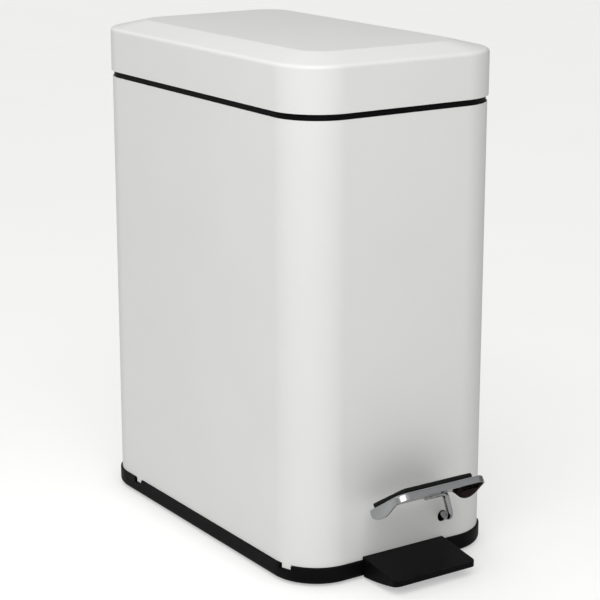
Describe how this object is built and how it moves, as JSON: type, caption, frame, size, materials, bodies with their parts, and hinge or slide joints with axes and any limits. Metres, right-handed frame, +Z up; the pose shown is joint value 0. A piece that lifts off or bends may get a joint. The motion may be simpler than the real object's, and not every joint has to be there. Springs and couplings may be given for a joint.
{
  "type": "pedal trash can",
  "caption": "Slim rectangular step-on waste bin: painted steel body, hinged lid, inner bucket, and a front pedal that raises the lid through a lever and lift rod.",
  "frame": {"origin": "centre of the overall box at floor level, under the rubber pads", "axes": "+Z up, -Y towards the pedal, +X to the right for a person facing the can's rear from the pedal side"},
  "size_m": [0.1412, 0.2792, 0.3],
  "materials": {
    "white_paint": "satin white powder coat on sheet steel",
    "black_plastic": "fine matte moulded",
    "black_bucket": "matte moulded",
    "natural_nylon": "matte moulded",
    "chrome": "polished chrome plate",
    "zinc_steel": "zinc plated",
    "rubber": "matte ribbed"
  },
  "bodies": {
    "can_body": {"base_tray": "black_plastic", "front_foot": "black_plastic", "body_shell": "white_paint", "top_collar": "black_plastic", "hinge_pin": "zinc_steel", "hinge_clip_left": "zinc_steel", "hinge_clip_right": "zinc_steel", "lid_bumper_left": "rubber", "lid_bumper_right": "rubber", "rubber_pad_front_left": "rubber", "rubber_pad_front_right": "rubber", "rubber_pad_rear_left": "rubber", "rubber_pad_rear_right": "rubber", "pivot_bracket": "zinc_steel", "pivot_axle": "zinc_steel", "pivot_clip": "zinc_steel", "bracket_screw_left": "zinc_steel", "bracket_screw_right": "zinc_steel", "rod_guide_lower": "natural_nylon", "rod_guide_upper": "natural_nylon", "guide_rivet_lower": "zinc_steel", "guide_rivet_upper": "zinc_steel"},
    "lid": {"lid_shell": "white_paint", "lid_liner": "black_plastic"},
    "pedal": {"pedal_plate": "chrome", "pedal_pad": "rubber", "pedal_rod": "chrome", "lever_bar": "zinc_steel"},
    "lift": {"lift_rod": "zinc_steel", "lift_rod_foot": "natural_nylon", "lift_rod_clip": "zinc_steel"},
    "bucket": {"inner_bucket": "black_bucket"},
    "handle": {"bucket_handle": "zinc_steel", "handle_grip": "black_plastic"}
  },
  "joints": [
    {"name": "lid_open", "type": "hinge", "parent": "can_body", "child": "lid", "pos_m": [0, 0.13536, 0.266], "axis": [-1, 0, 0], "range_deg": [0, 80]},
    {"name": "pedal_press", "type": "hinge", "parent": "can_body", "child": "pedal", "pos_m": [0, -0.09164, 0.035], "axis": [1, 0, 0], "range_deg": [0, 10.78]},
    {"name": "lift_rod_rise", "type": "slide", "parent": "can_body", "child": "lift", "axis": [0, 0, 1], "range_m": [0, 0.0386]},
    {"name": "bucket_lift", "type": "slide", "parent": "can_body", "child": "bucket", "axis": [0, 0, 1], "range_m": [0, 0.008]},
    {"name": "handle_swing", "type": "hinge", "parent": "bucket", "child": "handle", "pos_m": [0, 0.00111, 0.258], "axis": [-1, 0, 0], "range_deg": [0, 12]}
  ],
  "couplings": [
    {"joint": "pedal_press", "follows": "lid_open", "ratio": 0.13457},
    {"joint": "lift_rod_rise", "follows": "lid_open", "m_per_rad": 0.027622}
  ]
}
